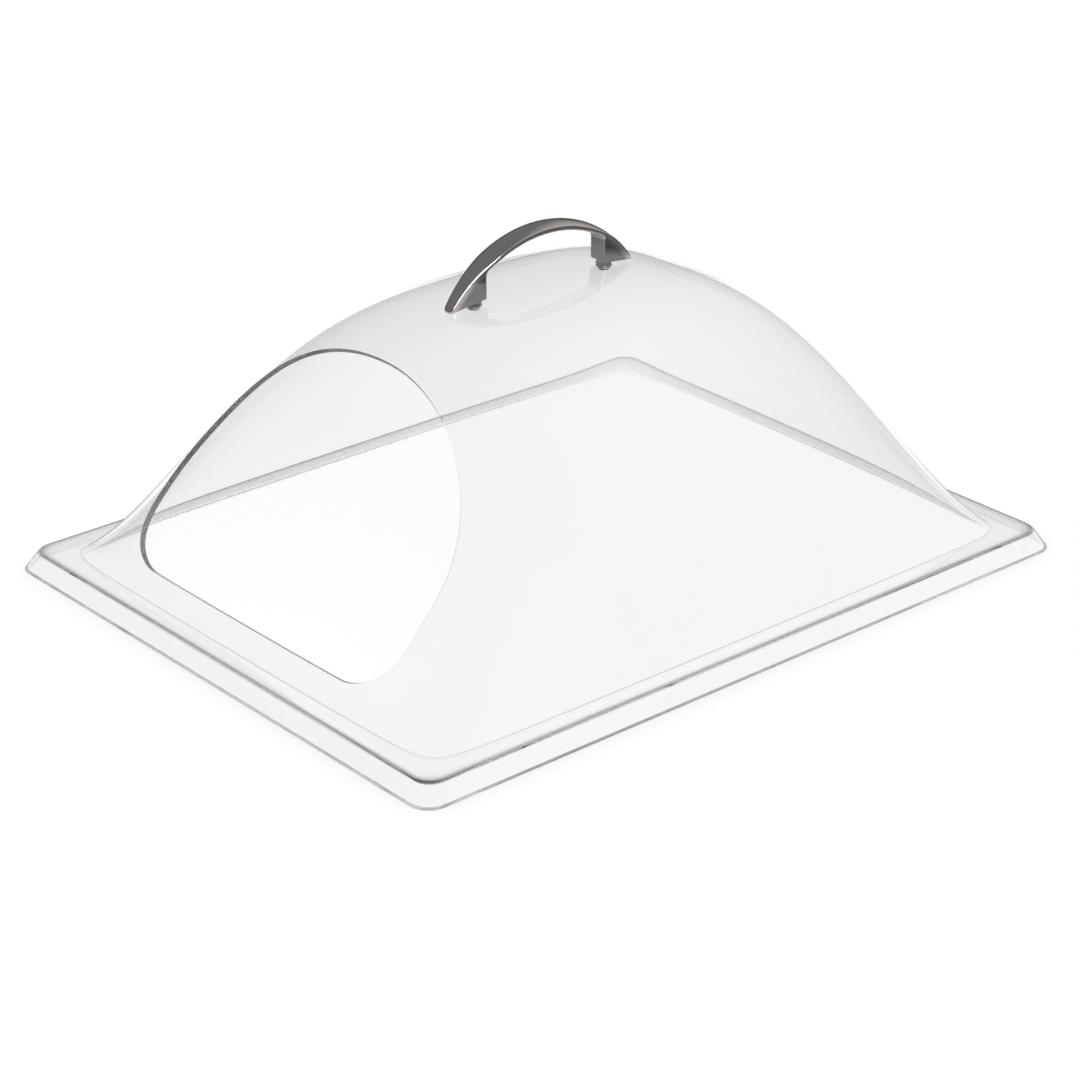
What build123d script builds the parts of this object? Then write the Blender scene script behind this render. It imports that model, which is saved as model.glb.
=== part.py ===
from build123d import *
import os
from math import atan, cos, pi, radians, sin, sqrt, tan

os.makedirs("parts", exist_ok=True)

# A clear domed food cover for a buffet tray. One formed sheet makes the dome, the flange round
# its foot and the flared skirt. A bow handle is screwed to the crown from inside.
# X runs along the cover, with the opening at the -X end. Z is up from the table, in millimetres.

# Skirt and flange
rim_length = 450.0
rim_width = 356.0
rim_corner_radius = 12.0
skirt_height = 11.0
skirt_flare = 5.8
flange_width = 12.0
sheet_thickness = 2.5
fold_radius = 0.4

# Dome
dome_height = 162.5
length_fullness = 3.3
width_fullness = 2.7
crown_thickness = 2.2
corner_sink = 3.0
crease_radius = 2.0
arch_count = 8
arch_points = 7

# Opening, drawn on a plane that leans back from the end of the dome, and cut from all sides
# towards one point inside, so that its edge is nearly square to the sheet
opening_tilt = 40.0
opening_width = 222.0
opening_side_height = 52.5
opening_arch_rise = 98.5
opening_corner_radius = 31.0
opening_middle = 63.0
opening_reach = 197.0
sill_height = 25.0

# Handle, set out from the places of its two screws
handle_pitch = 91.0
handle_width = 13.4
handle_rise = 33.5
strap_thickness = 5.0
strap_crown = 2.0
taper_setback = 9.5
shoulder_radius = 60.0
tip_overhang = 18.0
tip_width = 6.5
tip_corner_radius = 2.6
tip_thickness = 1.2
tip_clearance = 0.6
foot_setback = 4.5
foot_lift = 2.6
foot_corner_radius = 4.0
edge_radius = 1.0
boss_diameter = 8.0

# Screws, washers and gaskets
screw_diameter = 3.5
screw_length = 14.0
point_chamfer = 0.4
head_diameter = 7.0
head_height = 2.1
head_edge_radius = 1.2
recess_width = 1.0
recess_length = 3.8
recess_depth = 1.2
thread_clearance = 0.05
thread_runout = 1.5
hole_clearance = 0.2
gasket_thickness = 0.8
gasket_diameter = 8.4
washer_thickness = 0.8
washer_diameter = 9.0

# Sizes that follow from those above
crease_length = rim_length - 2 * (skirt_flare + flange_width)
crease_width = rim_width - 2 * (skirt_flare + flange_width)
dome_base = skirt_height - corner_sink
dome_rise = dome_height - dome_base
dome_half_length = crease_length / 2 / (1 - corner_sink / dome_rise) ** (1 / length_fullness)
dome_half_width = crease_width / 2 / (1 - corner_sink / dome_rise) ** (1 / width_fullness)
end_slope = atan(dome_rise * length_fullness / dome_half_length)
side_slope = atan(dome_rise * width_fullness / dome_half_width)
skirt_slope = atan(skirt_flare / skirt_height)


def arch(place, fullness):
    """Share of its full height that an arch has at a place from -1 to 1 across its span."""
    return 1 - abs(place) ** fullness


def spread(count):
    """Places from -1 to 1, closer together towards the ends, where the dome is steep."""
    return [sin(pi / 2 * step / count) for step in range(-count, count + 1)]


class Skin:
    """One face of the sheet: the outer one, or the inner one where the walls have a thickness."""

    def __init__(self, wall, crown_wall):
        self.half_length = dome_half_length - wall * tan(end_slope / 2)
        self.half_width = dome_half_width - wall * tan(side_slope / 2)
        self.base = dome_base - wall
        self.rise = dome_height - crown_wall - self.base
        self.flange_top = skirt_height - wall
        self.rim_inset = wall / cos(skirt_slope)
        self.top_inset = self.rim_inset + skirt_flare * self.flange_top / skirt_height
        self.corner_radius = rim_corner_radius - self.rim_inset
        self.fold_radius = fold_radius + sheet_thickness - wall
        self.crease_radius = crease_radius + wall

    def height(self, x):
        """Height of the face above the table, on the dome's middle line."""
        return self.base + self.rise * arch(x / self.half_length, length_fullness)

    def solid(self):
        """Everything under this face: the tray of flange and skirt, with the dome on it."""
        rim_size = (rim_length - 2 * self.rim_inset, rim_width - 2 * self.rim_inset)
        top_size = (rim_length - 2 * self.top_inset, rim_width - 2 * self.top_inset)
        with BuildPart() as quarter:
            with BuildSketch():
                RectangleRounded(*rim_size, self.corner_radius)
            with BuildSketch(Plane.XY.offset(self.flange_top)):
                RectangleRounded(*top_size, self.corner_radius)
            loft(ruled=True)
            fillet(quarter.faces().sort_by(Axis.Z)[-1].edges(), self.fold_radius)
            for along in spread(arch_count):
                crown = self.rise * arch(along, length_fullness)
                with BuildSketch(Plane.YZ.offset(along * self.half_length)):
                    with BuildLine():
                        top = Spline([
                            (across * self.half_width, self.base + crown * arch(across, width_fullness))
                            for across in spread(arch_points)
                        ])
                        root = self.base / 2
                        Polyline(top @ 1, (self.half_width, root), (-self.half_width, root), top @ 0)
                    make_face()
            loft()
            # One quarter is cut out and its crease rounded
            split(bisect_by=Plane.YZ)
            split(bisect_by=Plane.XZ)
            dome = quarter.faces().filter_by(GeomType.BSPLINE).sort_by(SortBy.AREA)[-1]
            fillet(dome.edges().group_by(Axis.Z)[0], self.crease_radius)
        # The quarter's own faces, without those on the cuts, are mirrored to the other three
        skin = quarter.faces().filter_by(
            lambda face: min(abs(face.center().X), abs(face.center().Y)) > fold_radius
        )
        for cut in (Plane.YZ, Plane.XZ):
            skin += [face.mirror(cut) for face in skin]
        return Solid(Shell(skin))


outer = Skin(0, 0)
inner = Skin(sheet_thickness, crown_thickness)
outer_form = outer.solid()
inner_form = inner.solid()
screw_places = GridLocations(handle_pitch, 0, 2, 1)

# Dome, flange and skirt, all one formed sheet
sill_place = (1 - (sill_height - outer.base) / outer.rise) ** (1 / length_fullness)
tilt = radians(opening_tilt)
opening_plane = Plane(
    origin=(
        opening_middle * sin(tilt) - sill_place * outer.half_length,
        0,
        opening_middle * cos(tilt) + sill_height,
    ),
    x_dir=(0, -1, 0),
    z_dir=(-cos(tilt), 0, sin(tilt)),
)
cut_depth = opening_width / 4
with BuildPart() as dome_cover:
    add(outer_form)
    add(inner_form, mode=Mode.SUBTRACT)
    for depth in (-cut_depth, cut_depth):
        share = 1 + depth / opening_reach
        side = share * opening_width / 2
        sill = -share * opening_middle
        side_top = sill + share * opening_side_height
        with BuildSketch(opening_plane.offset(depth)):
            with BuildLine():
                FilletPolyline(
                    (-side, side_top),
                    (-side, sill),
                    (side, sill),
                    (side, side_top),
                    radius=share * opening_corner_radius,
                )
                EllipticalCenterArc((0, side_top), side, share * opening_arch_rise, arc_size=180)
            make_face()
    loft(ruled=True, mode=Mode.SUBTRACT)
    with BuildSketch(Plane.XY.offset(dome_height)):
        with screw_places:
            Circle(screw_diameter / 2 + hole_clearance)
    extrude(amount=-dome_rise, mode=Mode.SUBTRACT)
dome_cover.part.label = "dome_cover"
export_step(dome_cover.part, "parts/dome_cover.step")

# Places along the handle, and heights up through its fixing
screw_x = handle_pitch / 2
tip_x = screw_x + tip_overhang
foot_x = screw_x - foot_setback
taper_x = screw_x - taper_setback
half_strap = handle_width / 2
half_tip = tip_width / 2
boss_bottom = outer.height(screw_x) + gasket_thickness
foot_bottom = outer.height(screw_x) + foot_lift
tip_bottom = outer.height(tip_x) + tip_clearance
handle_top = outer.height(screw_x) + handle_rise
washer_bottom = inner.height(screw_x) - washer_thickness
screw_top = washer_bottom + screw_length

# The strap's back is a circle in side view, from tip to tip, and a rounder one across its width
arch_sag = handle_top - tip_bottom - tip_thickness
back_radius = (tip_x ** 2 + arch_sag ** 2) / (2 * arch_sag)
back_center = handle_top - back_radius
crown_radius = (half_strap ** 2 + strap_crown ** 2) / (2 * strap_crown)
strap_foot = back_center + sqrt(back_radius ** 2 - foot_x ** 2) - strap_thickness

with BuildPart() as bow_handle:
    # Side view: feet below, the strap's underside between them, and room for the back above
    with BuildSketch(Plane.XZ) as side_view:
        with BuildLine():
            Polyline(
                (foot_x, strap_foot),
                (foot_x, foot_bottom),
                (tip_x, tip_bottom),
                (tip_x, handle_top + strap_crown),
                (-tip_x, handle_top + strap_crown),
                (-tip_x, tip_bottom),
                (-foot_x, foot_bottom),
                (-foot_x, strap_foot),
            )
            ThreePointArc((-foot_x, strap_foot), (0, handle_top - strap_thickness), (foot_x, strap_foot))
        make_face()
        under_corners = side_view.vertices().group_by(Axis.Y)[2]
        fillet(under_corners, foot_corner_radius)
    extrude(amount=handle_width, both=True)
    # Plan view: a straight grip that tapers to a rounded tip at each end
    with BuildSketch(Plane.XY.offset(outer.base)) as plan_view:
        with BuildLine():
            Polyline(
                (taper_x, half_strap),
                (tip_x, half_tip),
                (tip_x, -half_tip),
                (taper_x, -half_strap),
                (-taper_x, -half_strap),
                (-tip_x, -half_tip),
                (-tip_x, half_tip),
                (-taper_x, half_strap),
                close=True,
            )
        make_face()
        ends = plan_view.vertices().group_by(Axis.X)
        fillet(ends[0] + ends[-1], tip_corner_radius)
        shoulders = plan_view.vertices().group_by(Axis.Y)
        fillet(shoulders[0] + shoulders[-1], shoulder_radius)
    extrude(amount=handle_top, mode=Mode.INTERSECT)
    # Back of the strap, crowned across its width and turned about the centre of its arch
    with BuildSketch(Plane.YZ):
        with BuildLine():
            crown_arc = CenterArc((0, handle_top - crown_radius), crown_radius, 0, 180)
            Polyline(crown_arc @ 1, (-crown_radius, back_center), (crown_radius, back_center), crown_arc @ 0)
        make_face()
    revolve(axis=Axis((0, 0, back_center), (0, 1, 0)), mode=Mode.INTERSECT)
    # Rounded edges: all round the back, then along the underside and down the feet
    back = bow_handle.faces().filter_by(GeomType.TORUS).sort_by(SortBy.AREA)[-1]
    fillet(back.edges(), edge_radius)
    under_faces = bow_handle.faces().filter_by(
        lambda face: abs(face.center().X) < screw_x
        and abs(face.center().Y) < edge_radius
        and face.center().Z < handle_top - strap_thickness / 2
    )
    under_edges = under_faces.edges().filter_by(
        lambda edge: abs(edge.center().Y) > half_tip and edge.center().Z > foot_bottom + edge_radius
    )
    fillet(under_edges, edge_radius)
    # Round bosses under the feet, tapped for the screws
    with BuildSketch(Plane.XY.offset(boss_bottom)):
        with screw_places:
            Circle(boss_diameter / 2)
    extrude(amount=foot_lift)
    with BuildSketch(Plane.XY.offset(boss_bottom)):
        with screw_places:
            Circle(screw_diameter / 2 + thread_clearance)
    extrude(amount=screw_top + thread_runout - boss_bottom, mode=Mode.SUBTRACT)
bow_handle.part.label = "bow_handle"
export_step(bow_handle.part, "parts/bow_handle.step")

# Each end of the handle: a gasket on the dome, a washer inside it and a screw from below
for end, x in (("front", -screw_x), ("rear", screw_x)):
    with BuildPart() as foot_gasket:
        with BuildSketch(Plane.XY.offset(boss_bottom)):
            with Locations((x, 0)):
                Circle(gasket_diameter / 2)
                Circle(screw_diameter / 2 + hole_clearance, mode=Mode.SUBTRACT)
        extrude(amount=-gasket_thickness - crown_thickness)
        add(outer_form, mode=Mode.SUBTRACT)
    foot_gasket.part.label = f"{end}_foot_gasket"
    export_step(foot_gasket.part, f"parts/{end}_foot_gasket.step")

    with BuildPart() as screw_washer:
        with BuildSketch(Plane.XY.offset(washer_bottom)):
            with Locations((x, 0)):
                Circle(washer_diameter / 2)
                Circle(screw_diameter / 2 + hole_clearance, mode=Mode.SUBTRACT)
        extrude(amount=washer_thickness + crown_thickness)
        add(inner_form, mode=Mode.INTERSECT)
    screw_washer.part.label = f"{end}_screw_washer"
    export_step(screw_washer.part, f"parts/{end}_screw_washer.step")

    with BuildPart() as handle_screw:
        with BuildSketch(Plane.XY.offset(washer_bottom)):
            with Locations((x, 0)):
                Circle(head_diameter / 2)
        extrude(amount=-head_height)
        fillet(handle_screw.edges().sort_by(Axis.Z)[0], head_edge_radius)
        with BuildSketch(Plane.XY.offset(washer_bottom)):
            with Locations((x, 0)):
                Circle(screw_diameter / 2)
        extrude(amount=screw_length)
        chamfer(handle_screw.edges().sort_by(Axis.Z)[-1], point_chamfer)
        with BuildSketch(Plane.XY.offset(washer_bottom - head_height)):
            with Locations((x, 0)):
                Rectangle(recess_length, recess_width)
                Rectangle(recess_width, recess_length)
        extrude(amount=recess_depth, mode=Mode.SUBTRACT)
    handle_screw.part.label = f"{end}_handle_screw"
    export_step(handle_screw.part, f"parts/{end}_handle_screw.step")
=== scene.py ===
# %% [markdown]
# # A clear food cover
# The real thing is one formed sheet of clear plastic with a bow handle screwed to its crown. The solids are
# loaded first and stay where they are. Everything below is in the frame of those solids: X runs along the
# cover, the opening is at the -X end, and Z is up from the table. Blender counts in metres, and the sizes
# of the sheet are written in millimetres.

# %% Load the solids
import math
from collections import namedtuple

import bpy
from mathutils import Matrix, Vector


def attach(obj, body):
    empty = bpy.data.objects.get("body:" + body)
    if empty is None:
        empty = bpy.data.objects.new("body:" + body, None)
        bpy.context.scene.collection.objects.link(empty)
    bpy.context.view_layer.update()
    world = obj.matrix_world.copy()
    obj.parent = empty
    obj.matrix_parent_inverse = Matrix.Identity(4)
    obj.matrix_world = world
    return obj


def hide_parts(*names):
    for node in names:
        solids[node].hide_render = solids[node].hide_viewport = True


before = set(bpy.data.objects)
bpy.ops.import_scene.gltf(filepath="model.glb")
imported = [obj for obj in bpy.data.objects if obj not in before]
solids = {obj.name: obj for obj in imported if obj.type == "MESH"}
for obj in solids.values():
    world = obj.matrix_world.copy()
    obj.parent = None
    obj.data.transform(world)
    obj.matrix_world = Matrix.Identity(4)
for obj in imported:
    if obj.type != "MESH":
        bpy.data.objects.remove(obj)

MM = 0.001
scene = bpy.context.scene
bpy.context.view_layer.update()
print("solids:", ", ".join(sorted(solids)))

# %% [markdown]
# ## Camera
# The photograph looks down at the corner between the open end and a long side. A long lens from almost two
# metres keeps the edges of the rim nearly parallel. The view is kept as an azimuth, a height above the
# horizon and a distance, because those are the numbers that one would change to walk round the cover.

# %% Set up the camera
view_azimuth = math.radians(-40.849)
view_height = math.radians(25.382)
view_distance = 1.7598
view_target = Vector((0.01412, 0.01602, 0.0))
focal_length = 105.16
film_width = 36.0
farthest_seen = 100.0

towards_camera = Vector((
    math.sin(view_azimuth) * math.cos(view_height),
    -math.cos(view_azimuth) * math.cos(view_height),
    math.sin(view_height),
))
lens = bpy.data.cameras.new("long_lens")
lens.lens = focal_length
lens.sensor_width = film_width
lens.clip_end = farthest_seen
camera = bpy.data.objects.new("camera", lens)
camera.location = view_target + towards_camera * view_distance
camera.rotation_mode = "QUATERNION"
camera.rotation_quaternion = (-towards_camera).to_track_quat("-Z", "Y")
scene.collection.objects.link(camera)
scene.camera = camera
scene.view_settings.view_transform = "Standard"
print("camera at", [round(side, 3) for side in camera.location])

# %% [markdown]
# ## Building node trees
# Materials and Geometry Nodes are both trees of nodes. Clicking them together is fine once, but a script
# says better how they were made. These short helpers add a node, set what they are given and link whatever
# is a socket. Math, Vector Math and Map Range are used most, so each has a helper of its own.

# %% Helpers for nodes
def feed(node, inputs):
    """Fills inputs, given by name or number, each with a value or with the socket that feeds it."""
    for name, value in inputs.items():
        if isinstance(value, bpy.types.NodeSocket):
            node.id_data.links.new(value, node.inputs[name])
        else:
            node.inputs[name].default_value = value


def add_node(tree, kind, inputs=None, **settings):
    """A new node with its settings and inputs."""
    node = tree.nodes.new(kind)
    for name, value in settings.items():
        setattr(node, name, value)
    feed(node, inputs or {})
    return node


def maths(tree, operation, *values, **settings):
    """The result of a Math node."""
    node = add_node(tree, "ShaderNodeMath", dict(enumerate(values)), operation=operation, **settings)
    return node.outputs[0]


def vector_maths(tree, operation, *values):
    """The outputs of a Vector Math node. Its result is their Vector or their Value."""
    return add_node(tree, "ShaderNodeVectorMath", dict(enumerate(values)), operation=operation).outputs


def ramp(tree, value, start, end, low=0.0, high=1.0):
    """A number that goes from low to high while a value goes from start to end."""
    inputs = {"Value": value, "From Min": start, "From Max": end, "To Min": low, "To Max": high}
    return add_node(tree, "ShaderNodeMapRange", inputs).outputs[0]


# %% [markdown]
# ## Marks of use
# Clear plastic, chrome and plated steel all come from the kitchen with faint cloudy patches and hairline
# scratches. The same effect is used by several finishes, so it is one shader node group. It only puts out
# two masks, and each finish decides what they do. Scratches are the edges of long, thin Voronoi cells, and
# they show only where the cloud is dense, as if something had rubbed there.

# %% The group for marks of use
cloud_detail = 4.0
scratch_wander = 0.004
scratch_turn = (0.6, 0.3, 0.9)
scratch_stretch = (1.0, 14.0, 6.0)
scratch_width = 0.02
unscratched_cloud = 0.5
scratched_cloud = 0.7

marks = bpy.data.node_groups.new("marks_of_use", "ShaderNodeTree")
marks.interface.new_socket("Vector", in_out="INPUT", socket_type="NodeSocketVector")
for name in ("Cloud Scale", "Scratch Scale"):
    marks.interface.new_socket(name, in_out="INPUT", socket_type="NodeSocketFloat")
for name in ("Cloud", "Scratches"):
    marks.interface.new_socket(name, in_out="OUTPUT", socket_type="NodeSocketFloat")
given = add_node(marks, "NodeGroupInput").outputs
cloud = add_node(
    marks,
    "ShaderNodeTexNoise",
    {"Vector": given["Vector"], "Scale": given["Cloud Scale"], "Detail": cloud_detail},
).outputs
bent = vector_maths(marks, "MULTIPLY", cloud["Color"], [scratch_wander] * 3)["Vector"]
path = vector_maths(marks, "ADD", given["Vector"], bent)["Vector"]
combed = add_node(
    marks, "ShaderNodeMapping", {"Vector": path, "Rotation": scratch_turn, "Scale": scratch_stretch}
)
cells = add_node(
    marks,
    "ShaderNodeTexVoronoi",
    {"Vector": combed.outputs[0], "Scale": given["Scratch Scale"]},
    feature="DISTANCE_TO_EDGE",
)
lines = ramp(marks, cells.outputs["Distance"], 0.0, scratch_width, low=1.0, high=0.0)
rubbed = ramp(marks, cloud["Fac"], unscratched_cloud, scratched_cloud)
scratches = maths(marks, "MULTIPLY", lines, rubbed)
add_node(marks, "NodeGroupOutput", {"Cloud": cloud["Fac"], "Scratches": scratches})
print("marks_of_use:", len(marks.nodes), "nodes")


# %% [markdown]
# ## Finishes
# Every finish is a Principled shader with the group above. A starter makes the material, its coordinates
# and its marks, so that each cell below holds only what is special about one finish. Nearly all of it is a
# value or a colour that varies a little with a mask, which is what keeps a surface from looking like a
# drawing.

# %% A starter for finishes
def start_finish(name, cloud_scale, scratch_scale):
    """A material with marks of use on Object coordinates. Returns it, its tree and its marks."""
    material = bpy.data.materials.new(name)
    material.use_nodes = True
    tree = material.node_tree
    place = add_node(tree, "ShaderNodeTexCoord", name="place").outputs["Object"]
    wear = add_node(
        tree,
        "ShaderNodeGroup",
        {"Vector": place, "Cloud Scale": cloud_scale, "Scratch Scale": scratch_scale},
        node_tree=marks,
    )
    return material, tree, wear.outputs


def dress(tree, inputs):
    """Fills inputs of a finish's Principled shader."""
    feed(tree.nodes["Principled BSDF"], inputs)


def vary(tree, mask, low, high):
    """A value that goes from low to high as a mask goes from 0 to 1."""
    return ramp(tree, mask, 0.0, 1.0, low, high)


def vary_colour(tree, mask, low, high):
    """A colour that goes from low to high as a mask goes from 0 to 1. Either end may be a socket."""
    low, high = (end if isinstance(end, bpy.types.NodeSocket) else (*end, 1.0) for end in (low, high))
    mix = add_node(tree, "ShaderNodeMix", {"Factor": mask, "A": low, "B": high}, data_type="RGBA")
    return mix.outputs["Result"]


# %% [markdown]
# ### The clear sheet
# Polished polycarbonate is a glass with an index of 1.585. Rays of soft light and shadow rays go straight
# through by a Transparent shader, because bent light is slow to find and would leave a blotchy floor. Where
# the sheet is bent sharply it gathers light from far along itself and looks dark. Following that light
# takes very many bounces, so the blank below marks its bends and a painted shade darkens the sheet there.

# %% The clear sheet
sheet_index = 1.585
sheet_passes = (0.97, 0.97, 0.97, 1.0)
# Colour of the painted shade in the sheet's bends.
bend_shade_colour = (0.22, 0.22, 0.218)
bend_sharpness = 7.0


def let_light_through(tree):
    """Lets diffuse and shadow rays pass a clear finish unbent."""
    rays = add_node(tree, "ShaderNodeLightPath").outputs
    passing = add_node(tree, "ShaderNodeBsdfTransparent", {"Color": sheet_passes}).outputs[0]
    surface = tree.nodes["Principled BSDF"].outputs[0]
    for kind in ("Is Diffuse Ray", "Is Shadow Ray"):
        surface = add_node(tree, "ShaderNodeMixShader", {0: rays[kind], 1: surface, 2: passing}).outputs[0]
    feed(tree.nodes["Material Output"], {"Surface": surface})


clear_sheet, tree, wear = start_finish("clear_sheet", cloud_scale=22.0, scratch_scale=30.0)
flat_colour = vary_colour(tree, wear["Cloud"], (0.955, 0.955, 0.955), (0.975, 0.975, 0.975))
# Painted shade: the sheet's colour is darkened along its bends, standing in for the light it loses there.
tint = add_node(tree, "ShaderNodeAttribute", attribute_name="tint").outputs["Fac"]
in_bend = maths(tree, "POWER", tint, bend_sharpness)
dress(tree, {
    "Transmission Weight": 1.0,
    "IOR": sheet_index,
    "Base Color": vary_colour(tree, in_bend, flat_colour, bend_shade_colour),
    "Roughness": vary(tree, wear["Scratches"], 0.015, 0.12),
})
let_light_through(tree)
print(clear_sheet.name, "has", len(tree.nodes), "nodes")

# %% [markdown]
# ### Its sawn edges
# The opening and the rim are sawn, so the edges of the sheet are less clear than its skins. They could be a
# mask on the sheet's own finish, but they are separate faces, so each is simply a finish of its own: one for
# the opening and the holes, painted dark as painted shade for the dark look into the sheet along that edge,
# and a paler one for the edge on the table.

# %% The sawn edges
def sawn_edge(name, clearness, dark, pale, smooth, rough):
    """A finish for a sawn edge, in patches from dark to pale and from smooth to rough."""
    material, tree, wear = start_finish(name, cloud_scale=60.0, scratch_scale=80.0)
    dress(tree, {
        "Transmission Weight": clearness,
        "IOR": sheet_index,
        "Base Color": vary_colour(tree, wear["Cloud"], dark, pale),
        "Roughness": vary(tree, wear["Cloud"], smooth, rough),
    })
    let_light_through(tree)
    print(name, "lets through", clearness)
    return material


# The opening's edge is painted dark: painted shade for how dark the sheet looks along its edge.
cut_edge = sawn_edge("cut_edge", 0.76, (0.10, 0.10, 0.099), (0.14, 0.14, 0.139), smooth=0.08, rough=0.22)
rim_edge = sawn_edge("rim_edge", 0.65, (0.66, 0.66, 0.65), (0.74, 0.74, 0.73), smooth=0.10, rough=0.20)

# %% [markdown]
# ### The handle's chrome
# The handle is chrome over a casting, a mirror of a dim room with a faint ripple. Its webs and feet, which
# lie inside the bow's arc under the strap, are painted darker than the strap, as painted shade. The arc is
# found by the distance from the bow's centre in a side view. The underside, which the camera finds only as a
# reflection in the sheet, is painted between the two, a painted light that keeps that reflection faint, and
# it is found by the way that it faces.

# %% The handle's chrome
bow_centre = (0.0, 0.0, 118.6 * MM)
side_view = (1.0, 0.0, 1.0)
strap_inside = 71.2 * MM
strap_outside = 75.2 * MM
# The underside is painted lighter, a painted light that keeps its reflection in the sheet faint.
facing_down = (-0.4, -0.7)
underside_painted_light = 0.6
# The webs' darker colour is painted shade under the strap.
web_painted_shade = (0.25, 0.245, 0.24)

handle_chrome, tree, wear = start_finish("handle_chrome", cloud_scale=90.0, scratch_scale=60.0)
place = tree.nodes["place"].outputs
from_bow_centre = vector_maths(tree, "SUBTRACT", place["Object"], bow_centre)["Vector"]
in_side_view = vector_maths(tree, "MULTIPLY", from_bow_centre, side_view)["Vector"]
bow_reach = vector_maths(tree, "LENGTH", in_side_view)["Value"]
on_strap = ramp(tree, bow_reach, strap_inside, strap_outside)
facing_up = add_node(tree, "ShaderNodeSeparateXYZ", {0: place["Normal"]}).outputs["Z"]
on_underside = ramp(tree, facing_up, *facing_down, high=underside_painted_light)
# Mask of the painted shade on the webs and the painted light on the underside.
painted_shading_mask = maths(tree, "MAXIMUM", on_strap, on_underside)
strap_colour = vary_colour(tree, wear["Cloud"], (0.60, 0.57, 0.545), (0.75, 0.715, 0.685))
ripple = add_node(tree, "ShaderNodeBump", {"Strength": 0.05, "Distance": 0.001, "Height": wear["Cloud"]})
dress(tree, {
    "Metallic": 1.0,
    "Base Color": vary_colour(tree, painted_shading_mask, web_painted_shade, strap_colour),
    "Roughness": vary(tree, wear["Scratches"], 0.10, 0.30),
    "Normal": ripple.outputs[0],
})
print(handle_chrome.name, "has", len(tree.nodes), "nodes")

# %% [markdown]
# ### The small pieces
# Under each foot of the handle are a soft rubber gasket, a milky nylon washer and a plated screw. They are
# a few millimetres wide, so colour and roughness do most of the work, and only the rubber has a grain.

# %% Rubber, nylon and steel
gasket_rubber, tree, wear = start_finish("gasket_rubber", cloud_scale=400.0, scratch_scale=200.0)
place = tree.nodes["place"].outputs
grain = add_node(tree, "ShaderNodeTexNoise", {"Vector": place["Object"], "Scale": 2500.0}).outputs["Fac"]
bump = add_node(tree, "ShaderNodeBump", {"Strength": 0.3, "Distance": 0.0002, "Height": grain})
dress(tree, {
    "Base Color": vary_colour(tree, wear["Cloud"], (0.20, 0.20, 0.195), (0.28, 0.28, 0.27)),
    "Roughness": vary(tree, wear["Cloud"], 0.7, 0.95),
    "Normal": bump.outputs[0],
})

washer_nylon, tree, wear = start_finish("washer_nylon", cloud_scale=300.0, scratch_scale=200.0)
dress(tree, {
    "Transmission Weight": 0.85,
    "Base Color": vary_colour(tree, wear["Cloud"], (0.90, 0.90, 0.88), (0.96, 0.96, 0.94)),
    "Roughness": vary(tree, wear["Cloud"], 0.45, 0.65),
})

screw_steel, tree, wear = start_finish("screw_steel", cloud_scale=300.0, scratch_scale=250.0)
dress(tree, {
    "Metallic": 1.0,
    "Base Color": vary_colour(tree, wear["Cloud"], (0.55, 0.55, 0.54), (0.68, 0.68, 0.67)),
    "Roughness": vary(tree, wear["Scratches"], 0.25, 0.45),
})
print("made", gasket_rubber.name, washer_nylon.name, "and", screw_steel.name)

# %% [markdown]
# The solids already stand in their places, so all that they need is the finish in their one material slot.
# The clear sheet isn't among them: it is formed anew below, finer than the solid.

# %% Give the solids their finishes
finishes = {"bow_handle": handle_chrome}
for end in ("front", "rear"):
    finishes[f"{end}_foot_gasket"] = gasket_rubber
    finishes[f"{end}_screw_washer"] = washer_nylon
    finishes[f"{end}_handle_screw"] = screw_steel
for node, finish in finishes.items():
    solids[node].material_slots[0].material = finish
    print(node, "is", finish.name)

# %% [markdown]
# ## The sheet
# The sheet follows a rule. Its dome is an arch along the cover times an arch across it, which gives a full,
# soft-cornered form. Round its foot run a small crease, a flat flange, a fold and a flared skirt. It could
# be modelled by hand, but a rule suits Geometry Nodes: a flat blank of rows and stations goes in, and each
# point is moved to where the rule puts it.

# %% Sizes of the sheet, in millimetres and degrees
sheet = {
    "Rim Length": 450.0,
    "Rim Width": 356.0,
    "Flange Height": 11.0,
    "Crease Inset": 17.8,
    "Crease Radius": 2.0,
    "Dome Height": 162.5,
    "Length Fullness": 3.3,
    "Width Fullness": 2.7,
    "Corner Sink": 3.0,
    "Thickness": 2.5,
    "Crown Thickness": 2.2,
    "Opening Width": 222.0,
    "Opening Side Height": 52.5,
    "Opening Arch Rise": 98.5,
    "Opening Corner": 31.0,
    "Opening Lean": 40.0,
    "Opening Middle": 63.0,
    "Opening Reach": 197.0,
    "Sill Height": 25.0,
    "Screw Pitch": 91.0,
    "Hole Diameter": 3.9,
}
rim_corner = 12.0
skirt_flare = 5.8
fold_radius = 0.4
print("sheet:", sheet["Rim Length"], "by", sheet["Rim Width"], "by", sheet["Dome Height"], "mm")

# %% [markdown]
# The rows of the blank run from the crown outside, over the rim, to the crown inside, so the wall is
# closed. A row knows what it belongs to, and how far in and how high it lies. Rows stand closer in the
# bends, and on the outer face those carry the strength of the painted shade that darkens the sheet.

# %% The rows
RIM, CREASE, DOME = 0, 1, 2
dome_steps = 112
bend_steps = 6
# How strong the painted shade is in the crease, and how it fades along the fold.
crease_shade = 0.97
fold_fade = 0.5
fold_fade_power = 4
skirt_slope = math.atan(skirt_flare / sheet["Flange Height"])
Row = namedtuple("Row", "kind wall step inset corner height tint", defaults=(0.0,) * 5)


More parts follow.
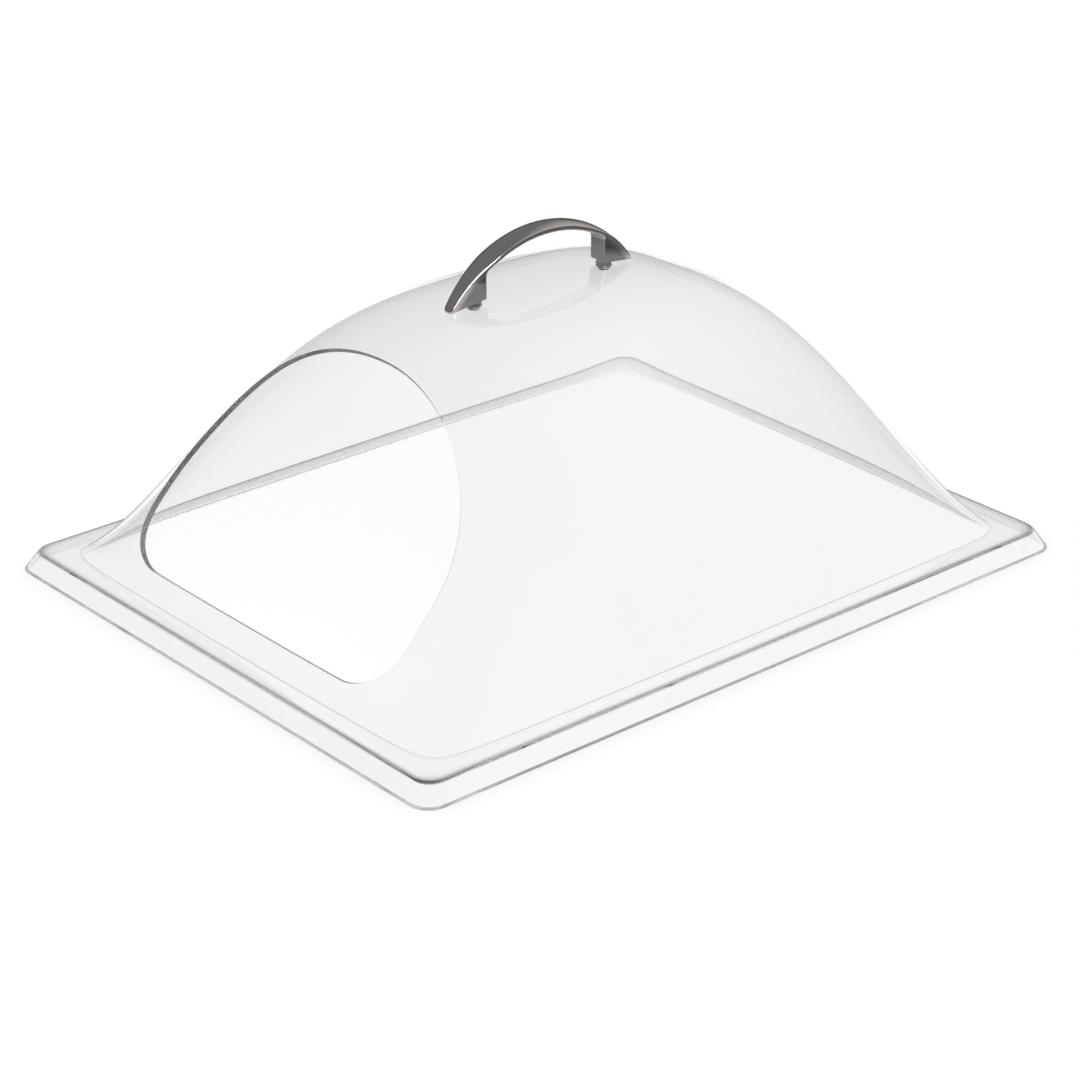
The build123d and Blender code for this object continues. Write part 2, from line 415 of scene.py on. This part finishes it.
def skin_rows(wall):
    """Rows of one face of the sheet, from crown to rim. The wall is its depth below the outer face."""
    outside = float(wall == 0)
    rows = [Row(DOME, wall, step=math.sin(math.pi / 2 * k / dome_steps)) for k in range(dome_steps + 1)]
    for k in range(1, bend_steps + 1):
        tint = crease_shade * math.sin(math.pi * k / bend_steps) * outside
        rows.append(Row(CREASE, wall, step=1 - k / bend_steps, tint=tint))
    rim_inset = wall / math.cos(skirt_slope)
    flange = sheet["Flange Height"] - wall
    fold_inset = rim_inset + flange * math.tan(skirt_slope)
    radius = fold_radius + sheet["Thickness"] - wall
    turn = math.pi / 2 - skirt_slope
    for k in range(bend_steps + 1):
        angle = turn * k / bend_steps
        inset = fold_inset + radius * (math.tan(turn / 2) - math.sin(angle))
        corner = rim_corner - rim_inset - max(0, inset - fold_inset)
        height = flange - radius * (1 - math.cos(angle))
        tint = (1 - fold_fade * (k / bend_steps) ** fold_fade_power) * outside
        rows.append(Row(RIM, wall, inset=inset, corner=corner, height=height, tint=tint))
    rows.append(Row(RIM, wall, inset=rim_inset, corner=rim_corner - rim_inset))
    return rows


rows = skin_rows(0.0) + skin_rows(sheet["Thickness"])[::-1]
print("rows:", len(rows))

# %% [markdown]
# Each row has the same number of stations round the cover, counted in quarter turns. What the rows know
# goes into the blank as attributes of its points, where Geometry Nodes can read it.

# %% The blank
stations = 4 * 76
around = [4 * station / stations for station in range(stations)]


def number_of(row, station):
    """Number of a point of the blank. The last station of a row is next to its first."""
    return row * stations + station % stations


blank = bpy.data.meshes.new("blank")
blank.from_pydata(
    [(quarters, row / len(rows), 0) for row in range(len(rows)) for quarters in around],
    [],
    [
        (number_of(r, s), number_of(r + 1, s), number_of(r + 1, s + 1), number_of(r, s + 1))
        for r in range(len(rows) - 1)
        for s in range(stations)
    ],
)
columns = {"around": around * len(rows)}
for name in Row._fields:
    columns[name] = [getattr(row, name) for row in rows for quarters in around]
for name, values in columns.items():
    blank.attributes.new(name, "FLOAT", "POINT").data.foreach_set("value", values)
print("blank:", len(blank.vertices), "points with", ", ".join(columns))

# %% [markdown]
# Formulas in Geometry Nodes are chains of Math nodes, which are hard to read. The class below stands for
# one number of such a chain, so that plain arithmetic in Python adds the nodes.

# %% Arithmetic that adds Math nodes
class Number:
    """A number that Math nodes work out for each point."""

    def __init__(self, socket):
        self.socket = socket

    def __add__(self, other):
        return work_out("ADD", self, other)

    def __sub__(self, other):
        return work_out("SUBTRACT", self, other)

    def __rsub__(self, other):
        return work_out("SUBTRACT", other, self)

    def __mul__(self, other):
        return work_out("MULTIPLY", self, other)

    def __truediv__(self, other):
        return work_out("DIVIDE", self, other)

    def __rtruediv__(self, other):
        return work_out("DIVIDE", other, self)

    def __pow__(self, other):
        return work_out("POWER", self, other)

    __radd__ = __add__
    __rmul__ = __mul__


sheet_tree = bpy.data.node_groups.new("formed_sheet", "GeometryNodeTree")


def plug(number):
    """What the input of a node takes: the socket of a Number, or a plain value."""
    return number.socket if isinstance(number, Number) else number


def work_out(operation, *numbers):
    """A Math node in the sheet's tree, fed with numbers."""
    return Number(maths(sheet_tree, operation, *(plug(number) for number in numbers)))


def pick(choice, yes, no):
    """The number yes where choice is 1, and no where it is 0."""
    return no + choice * (yes - no)


def point(*sides):
    """A place in metres from three numbers in millimetres."""
    inputs = {axis: plug(side * MM) for axis, side in enumerate(sides)}
    return add_node(sheet_tree, "ShaderNodeCombineXYZ", inputs).outputs[0]


# %% [markdown]
# The tree takes the blank and the sizes as its inputs, and the formulas read each size from there. The
# attributes of the points are read by their names.

# %% Inputs of the sheet's tree
sheet_tree.is_modifier = True
panel = sheet_tree.interface
panel.new_socket("Blank", in_out="INPUT", socket_type="NodeSocketGeometry")
size_sockets = {name: panel.new_socket(name, in_out="INPUT", socket_type="NodeSocketFloat") for name in sheet}
panel.new_socket("Sheet", in_out="OUTPUT", socket_type="NodeSocketGeometry")
tree_inputs = add_node(sheet_tree, "NodeGroupInput").outputs
size = {name: Number(tree_inputs[name]) for name in sheet}
mark = {
    name: Number(add_node(sheet_tree, "GeometryNodeInputNamedAttribute", {"Name": name}).outputs["Attribute"])
    for name in columns
}
print("inputs:", ", ".join(size_sockets))


# %% [markdown]
# A skin of the sheet is the outer face, or the inner one a wall's thickness inside it. The crease is a
# level line of the dome. From the middle of a side to the corner it can be worked out by one coordinate at
# a time, so each station is measured along the end of the cover or along its side, whichever it belongs to.

# %% The dome's sizes for a skin
def half(name):
    """Half of one of the sizes."""
    return size[name] / 2


wall = mark["wall"]
base = size["Flange Height"] - size["Corner Sink"]
full_rise = size["Dome Height"] - base
sunk = 1 - size["Corner Sink"] / full_rise
full_length = (half("Rim Length") - size["Crease Inset"]) / sunk ** (1 / size["Length Fullness"])
full_width = (half("Rim Width") - size["Crease Inset"]) / sunk ** (1 / size["Width Fullness"])


def lean_in(half_span, fullness):
    """How far an arch's foot moves in for each millimetre of wall."""
    return work_out("TANGENT", work_out("ARCTANGENT", full_rise * fullness / half_span) / 2)


half_length = full_length - wall * lean_in(full_length, size["Length Fullness"])
half_width = full_width - wall * lean_in(full_width, size["Width Fullness"])
skin_base = base - wall
rise = full_rise + wall - wall / size["Thickness"] * size["Crown Thickness"]
flange = size["Flange Height"] - wall
print("so far the rule takes", len(sheet_tree.nodes), "nodes")


# %% The level line at the crease
def arch(place, fullness):
    """Share of its height that an arch has at a place across its half span."""
    return 1 - place ** size[fullness]


def across(share, fullness):
    """Place across a half span where an arch has this share of its height."""
    return (1 - share) ** (1 / size[fullness])


quarter = work_out("PINGPONG", mark["around"], 1.0)
on_end = work_out("LESS_THAN", quarter, 0.5)
reach = work_out("SINE", quarter * math.pi)
level = (flange - skin_base) / rise
corner_share = work_out("SQRT", level)
far_x = across(corner_share, "Length Fullness") * reach
far_y = across(corner_share, "Width Fullness") * reach
crease_x = pick(on_end, across(level / arch(far_y, "Width Fullness"), "Length Fullness"), far_x)
crease_y = pick(on_end, far_y, across(level / arch(far_x, "Length Fullness"), "Width Fullness"))
print("so far the rule takes", len(sheet_tree.nodes), "nodes")


# %% [markdown]
# A sheet can't be bent to a sharp corner, so the crease is an arc, from flat on the flange to the pitch of
# the dome. Inside it, each row of the dome is the last line of that arc drawn smaller, down to a point at
# the crown, and the two arches give its height.

# %% Rounding the crease, and the dome inside it
def steepness(own, other, own_fullness, other_fullness, span):
    """Slope of the dome along one of its two directions."""
    power = size[own_fullness]
    return rise * power / span * own ** (power - 1) * arch(other, other_fullness)


bend = size["Crease Radius"] + wall
slope_x = steepness(crease_x, crease_y, "Length Fullness", "Width Fullness", half_length)
slope_y = steepness(crease_y, crease_x, "Width Fullness", "Length Fullness", half_width)
slope = work_out("SQRT", slope_x ** 2 + slope_y ** 2)
pitch = work_out("ARCTANGENT", slope)
on_dome = work_out("GREATER_THAN", mark["kind"], (CREASE + DOME) / 2)
turned = pick(on_dome, 1.0, mark["step"]) * pitch
outwards = bend * (work_out("TANGENT", pitch / 2) - work_out("SINE", turned))
pull = pick(on_dome, mark["step"], 1.0)
dome_x = (crease_x * half_length + slope_x / slope * outwards) * pull
dome_y = (crease_y * half_width + slope_y / slope * outwards) * pull
height_share = arch(dome_x / half_length, "Length Fullness") * arch(dome_y / half_width, "Width Fullness")
bend_z = flange + bend * (1 - work_out("COSINE", turned))
dome_z = pick(on_dome, skin_base + rise * height_share, bend_z)
print("so far the rule takes", len(sheet_tree.nodes), "nodes")

# %% [markdown]
# The flange, the fold and the skirt are rounded rectangles, one for each row. A station first goes straight
# along its side and then round the corner, each side taking half of it.

# %% Flange, fold and skirt
sharpest_corner = 0.001
end_half = half("Rim Width") - mark["inset"]
side_half = half("Rim Length") - mark["inset"]
radius = work_out("MAXIMUM", mark["corner"], sharpest_corner)
run = pick(on_end, end_half, side_half) - radius
along = reach * (run + radius * (math.pi / 4))
turn = work_out("MAXIMUM", along - run, 0.0) / radius
rim_along = work_out("MINIMUM", along, run) + radius * work_out("SINE", turn)
rim_across = pick(on_end, side_half, end_half) - radius + radius * work_out("COSINE", turn)
print("so far the rule takes", len(sheet_tree.nodes), "nodes")

# %% [markdown]
# Everything so far is for one quarter of the cover. The quarter turns give the signs of the other three.
# Points that meet, as all of them do at the crown, are welded.

# %% Put each point of the blank in its place
weld_distance = 0.01 * MM
on_rim = work_out("LESS_THAN", mark["kind"], (RIM + CREASE) / 2)
quarter_turn = mark["around"] * (math.pi / 2)
side_x = work_out("SIGN", work_out("COSINE", quarter_turn))
side_y = work_out("SIGN", work_out("SINE", quarter_turn))
sheet_point = point(
    side_x * pick(on_rim, pick(on_end, rim_across, rim_along), dome_x),
    side_y * pick(on_rim, pick(on_end, rim_along, rim_across), dome_y),
    pick(on_rim, mark["height"], dome_z),
)
formed = add_node(
    sheet_tree, "GeometryNodeSetPosition", {"Geometry": tree_inputs["Blank"], "Position": sheet_point}
)
closed = add_node(
    sheet_tree, "GeometryNodeMergeByDistance", {"Geometry": formed.outputs[0], "Distance": weld_distance}
)
print("the whole rule takes", len(sheet_tree.nodes), "nodes")

# %% [markdown]
# ### The opening and the screw holes
# The opening is an arch on a plane that leans back from the end. Its cutter is a cylinder whose points are
# moved onto the arch: half an ellipse on top, and a small quarter circle in each lower corner. It narrows
# towards one point inside the dome, so that the edge it leaves is about square to the sheet.

# %% The cutter for the opening
drum_points = 128
below_middle = -0.0001
drum = add_node(
    sheet_tree, "GeometryNodeMeshCylinder", {"Vertices": drum_points, "Radius": 1.0, "Depth": 1.0}
)
drum_place = add_node(sheet_tree, "GeometryNodeInputPosition").outputs[0]
drum_x, drum_y, drum_z = (
    Number(socket) for socket in add_node(sheet_tree, "ShaderNodeSeparateXYZ", {0: drum_place}).outputs
)
in_corner = work_out("LESS_THAN", drum_y, below_middle)
corner = size["Opening Corner"]
corner_x = work_out("SIGN", drum_x) * (half("Opening Width") - corner) + corner * drum_x
corner_y = corner + corner * drum_y
outline_x = pick(in_corner, corner_x, half("Opening Width") * drum_x)
outline_y = pick(in_corner, corner_y, size["Opening Side Height"] + size["Opening Arch Rise"] * drum_y)
arch_z = half("Opening Width") * drum_z
narrowing = 1 + arch_z / size["Opening Reach"]
arch_x = outline_x * narrowing
arch_y = size["Opening Middle"] + (outline_y - size["Opening Middle"]) * narrowing
lean = work_out("RADIANS", size["Opening Lean"])
lean_sine = work_out("SINE", lean)
lean_cosine = work_out("COSINE", lean)
sill_x = full_length * across((size["Sill Height"] - base) / full_rise, "Length Fullness")
arch_point = point(
    arch_y * lean_sine - arch_z * lean_cosine - sill_x,
    0 - arch_x,
    size["Sill Height"] + arch_y * lean_cosine + arch_z * lean_sine,
)
arch_cutter = add_node(
    sheet_tree, "GeometryNodeSetPosition", {"Geometry": drum.outputs["Mesh"], "Position": arch_point}
)
print("the opening's cutter has", drum_points, "sides")

# %% [markdown]
# The screw holes are two plain cylinders, one instance on each end of a line as long as the screws' pitch.
# Faces that a cutter leaves in the sheet keep the cutter's finish, so all the cutters get the one for sawn
# edges.

# %% The drills for the screw holes
drill_points = 32
drill_length = 40 * MM
first_hole = point(0 - half("Screw Pitch"), 0, size["Dome Height"])
hole_step = point(size["Screw Pitch"], 0, 0)
hole_places = add_node(
    sheet_tree, "GeometryNodeMeshLine", {"Count": 2, "Start Location": first_hole, "Offset": hole_step}
)
drill_radius = half("Hole Diameter") * MM
drill = add_node(
    sheet_tree,
    "GeometryNodeMeshCylinder",
    {"Vertices": drill_points, "Radius": drill_radius.socket, "Depth": drill_length},
)
drills = add_node(
    sheet_tree,
    "GeometryNodeInstanceOnPoints",
    {"Points": hole_places.outputs[0], "Instance": drill.outputs["Mesh"]},
)
cutters = add_node(sheet_tree, "GeometryNodeJoinGeometry")
for cutter in (arch_cutter, drills):
    feed(cutters, {0: cutter.outputs[0]})
real_cutters = add_node(sheet_tree, "GeometryNodeRealizeInstances", {0: cutters.outputs[0]})
edge_cutters = add_node(
    sheet_tree, "GeometryNodeSetMaterial", {"Geometry": real_cutters.outputs[0], "Material": cut_edge}
)
print("each drill has", drill_points, "sides")

# %% [markdown]
# Now the sheet gets its finishes and is cut. Faces on the table are the sawn edge of the rim. Shading is
# smooth apart from the edges at a sharp angle, which are those that the saw left.

# %% Cut, shade and finish
table_height = 0.1 * MM
sharp_angle = math.radians(35)
clear = add_node(
    sheet_tree, "GeometryNodeSetMaterial", {"Geometry": closed.outputs[0], "Material": clear_sheet}
)
face_place = add_node(sheet_tree, "GeometryNodeInputPosition").outputs[0]
face_height = Number(add_node(sheet_tree, "ShaderNodeSeparateXYZ", {0: face_place}).outputs["Z"])
on_table = work_out("LESS_THAN", face_height, table_height)
edged = add_node(
    sheet_tree,
    "GeometryNodeSetMaterial",
    {"Geometry": clear.outputs[0], "Selection": on_table.socket, "Material": rim_edge},
)
cut = add_node(
    sheet_tree,
    "GeometryNodeMeshBoolean",
    {"Mesh 1": edged.outputs[0], "Mesh 2": edge_cutters.outputs[0]},
    operation="DIFFERENCE",
    solver="EXACT",
)
smooth = add_node(sheet_tree, "GeometryNodeSetShadeSmooth", {"Geometry": cut.outputs["Mesh"]})
edge_angle = Number(add_node(sheet_tree, "GeometryNodeInputMeshEdgeAngle").outputs["Unsigned Angle"])
sharp = work_out("GREATER_THAN", edge_angle, sharp_angle)
crisp = add_node(
    sheet_tree,
    "GeometryNodeSetShadeSmooth",
    {"Geometry": smooth.outputs[0], "Selection": sharp.socket, "Shade Smooth": False},
    domain="EDGE",
)
real = add_node(sheet_tree, "GeometryNodeRealizeInstances", {0: crisp.outputs[0]})
add_node(sheet_tree, "NodeGroupOutput", {"Sheet": real.outputs[0]})
print("the sheet's tree has", len(sheet_tree.nodes), "nodes")

# %% [markdown]
# The tree runs as a modifier on the blank. Its result is kept as a plain mesh, which rides on the cover's
# one body and takes the place of the solid sheet. Only the blank's painted bend shade is still needed.

# %% Run the tree and keep its mesh
former = bpy.data.objects.new("former", blank)
scene.collection.objects.link(former)
forming = former.modifiers.new("forming", "NODES")
forming.node_group = sheet_tree
for name, socket in size_sockets.items():
    forming[socket.identifier] = sheet[name]
evaluated = former.evaluated_get(bpy.context.evaluated_depsgraph_get())
dome_mesh = bpy.data.meshes.new_from_object(evaluated)
bpy.data.objects.remove(former)
dome_mesh.name = "clear_dome"
for name in columns:
    if name != "tint":
        dome_mesh.attributes.remove(dome_mesh.attributes[name])
clear_dome = bpy.data.objects.new("clear_dome", dome_mesh)
scene.collection.objects.link(clear_dome)
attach(clear_dome, "root")
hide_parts("dome_cover")
print("clear_dome:", len(dome_mesh.polygons), "faces,", [finish.name for finish in dome_mesh.materials])

# %% [markdown]
# ## Floor and light
# The photograph has a white sweep under the cover and a dim room round it. The floor is a plain diffuse
# plane that keeps the shadow, topped up with a little glow so that the camera sees white, directly or
# through the sheet. It lies a hair below the rim, so that no two faces share a plane.

# %% The floor
floor_half = 20.0
floor_drop = 0.0002
floor_corners = ((-1, -1), (1, -1), (1, 1), (-1, 1))
floor_mesh = bpy.data.meshes.new("floor")
floor_mesh.from_pydata([(x * floor_half, y * floor_half, 0) for x, y in floor_corners], [], [(0, 1, 2, 3)])
floor = bpy.data.objects.new("floor", floor_mesh)
floor.location.z = -floor_drop
scene.collection.objects.link(floor)
white_sweep = bpy.data.materials.new("white_sweep")
white_sweep.use_nodes = True
floor_mesh.materials.append(white_sweep)
print("the floor is", 2 * floor_half, "m wide")

# %% [markdown]
# Light Path tells a material what kind of ray has found it. In reflections only a strip behind the cover is
# white, as if the paper were no wider than that, and it draws the white line along the dome's outline.

# %% Where the floor is white
strip_near = (0.10, 0.25)
strip_far = (3.0, 2.0)
strip_half = (0.65, 0.50)

tree = white_sweep.node_tree
tree.nodes.remove(tree.nodes["Principled BSDF"])
rays = add_node(tree, "ShaderNodeLightPath").outputs
floor_place = add_node(tree, "ShaderNodeTexCoord").outputs["Object"]
away = Vector((-towards_camera.x, -towards_camera.y, 0.0)).normalized()
to_the_right = Vector((away.y, -away.x, 0.0))
behind = vector_maths(tree, "DOT_PRODUCT", floor_place, away)["Value"]
aside = vector_maths(tree, "DOT_PRODUCT", floor_place, to_the_right)["Value"]
strip_start = ramp(tree, behind, *strip_near)
strip_end = ramp(tree, behind, *strip_far)
strip_side = ramp(tree, maths(tree, "ABSOLUTE", aside), *strip_half)
strip_length = maths(tree, "MULTIPLY", strip_start, strip_end)
strip = maths(tree, "MULTIPLY", strip_length, strip_side)
shown = maths(tree, "MAXIMUM", rays["Is Camera Ray"], rays["Is Transmission Ray"])
in_mirror = maths(tree, "MULTIPLY", rays["Is Glossy Ray"], strip)
white = maths(tree, "MAXIMUM", shown, in_mirror)
dimmed = maths(tree, "SUBTRACT", rays["Is Glossy Ray"], white, use_clamp=True)
print("the camera looks along", [round(side, 2) for side in away])

# %% [markdown]
# The cover is so clear that it throws hardly any shadow, so an occlusion node adds the grey where the rim
# stands. It looks only outside the rim, because within it the sheet is overhead everywhere. From below the
# floor is left out, to show the underside.

# %% The paper
contact_reach = 0.016
glow_strength = 0.30
paper_white = (0.8, 0.8, 0.8)
dim_in_front = (0.22, 0.22, 0.22)
dim_behind = (0.07, 0.07, 0.07)

nearby = add_node(tree, "ShaderNodeAmbientOcclusion", {"Distance": contact_reach}, samples=8).outputs["AO"]
floor_sides = add_node(tree, "ShaderNodeSeparateXYZ", {0: floor_place}).outputs
outside = []
for axis, name in (("X", "Rim Length"), ("Y", "Rim Width")):
    inner_face = (sheet[name] / 2 - sheet["Thickness"]) * MM
    outside.append(maths(tree, "GREATER_THAN", maths(tree, "ABSOLUTE", floor_sides[axis]), inner_face))
open_floor = maths(tree, "MAXIMUM", *outside)
by_the_rim = maths(tree, "MULTIPLY", open_floor, rays["Is Camera Ray"])
unshaded = vary(tree, by_the_rim, 1.0, nearby)
glow = maths(tree, "MULTIPLY", maths(tree, "MULTIPLY", white, glow_strength), unshaded)
dim_paper = vary_colour(tree, strip_start, dim_in_front, dim_behind)
paper = add_node(tree, "ShaderNodeBsdfDiffuse", {"Color": vary_colour(tree, dimmed, paper_white, dim_paper)})
lift = add_node(tree, "ShaderNodeEmission", {"Strength": glow})
both = add_node(tree, "ShaderNodeAddShader", {0: paper.outputs[0], 1: lift.outputs[0]})
gone = add_node(tree, "ShaderNodeBsdfTransparent")
under = add_node(tree, "ShaderNodeNewGeometry").outputs["Backfacing"]
one_sided = add_node(tree, "ShaderNodeMixShader", {0: under, 1: both.outputs[0], 2: gone.outputs[0]})
feed(tree.nodes["Material Output"], {"Surface": one_sided.outputs[0]})
print(white_sweep.name, "has", len(tree.nodes), "nodes")

# %% [markdown]
# The room is the world. Soft light reaches everything evenly. What shines shows a dim room, darkest near
# the floor and paler on the right, and what the camera sees directly or through the sheet is white. Light
# may take many bounces, because a clear sheet leads it far along inside.

# %% The room
soft_light = 0.9
wall_heights = (0.05, 0.4)
wall_lights = (0.06, 0.20)
window = Vector((0.9, -0.4, 0.25)).normalized()
window_edge = math.cos(math.radians(60))
window_core = math.cos(math.radians(20))
window_light = 0.5
bounces = 96

room = bpy.data.worlds.new("room")
room.use_nodes = True
scene.world = room
tree = room.node_tree
rays = add_node(tree, "ShaderNodeLightPath").outputs
direction = add_node(tree, "ShaderNodeTexCoord").outputs["Generated"]
upwards = add_node(tree, "ShaderNodeSeparateXYZ", {0: direction}).outputs["Z"]
dim = ramp(tree, upwards, *wall_heights, *wall_lights)
near_window = vector_maths(tree, "DOT_PRODUCT", direction, window)["Value"]
paler = ramp(tree, near_window, window_edge, window_core, high=window_light)
reflected = maths(tree, "ADD", dim, paler)
shining = vary(tree, rays["Is Glossy Ray"], soft_light, reflected)
clear_view = maths(tree, "MAXIMUM", rays["Is Camera Ray"], rays["Is Transmission Ray"])
strength = vary(tree, clear_view, shining, 1.0)
feed(tree.nodes["Background"], {"Color": (1.0, 1.0, 1.0, 1.0), "Strength": strength})
for limit in ("max_bounces", "glossy_bounces", "transmission_bounces", "transparent_max_bounces"):
    setattr(scene.cycles, limit, bounces)
print("room:", len(tree.nodes), "nodes,", bounces, "bounces")

# %% [markdown]
# One softbox stands at the front right, for the handle alone. It draws the white line along the near edge
# of the strap. Light linking keeps it off the sheet, where it would be a white patch.

# %% The softbox
softbox_aim = Vector((0.0, 0.0, 0.18))
softbox_side = Vector((-0.15, -0.88, 0.35)).normalized()
softbox_distance = 0.8
softbox = bpy.data.lights.new("softbox", "AREA")
softbox.size = 0.5
softbox.energy = 5.0
softbox_stand = bpy.data.objects.new("softbox", softbox)
softbox_stand.location = softbox_aim + softbox_distance * softbox_side
softbox_stand.rotation_mode = "QUATERNION"
softbox_stand.rotation_quaternion = softbox_side.to_track_quat("Z", "Y")
scene.collection.objects.link(softbox_stand)
shone_on = bpy.data.collections.new("shone_on")
shone_on.objects.link(solids["bow_handle"])
softbox_stand.light_linking.receiver_collection = shone_on
print("softbox at", [round(side, 2) for side in softbox_stand.location])
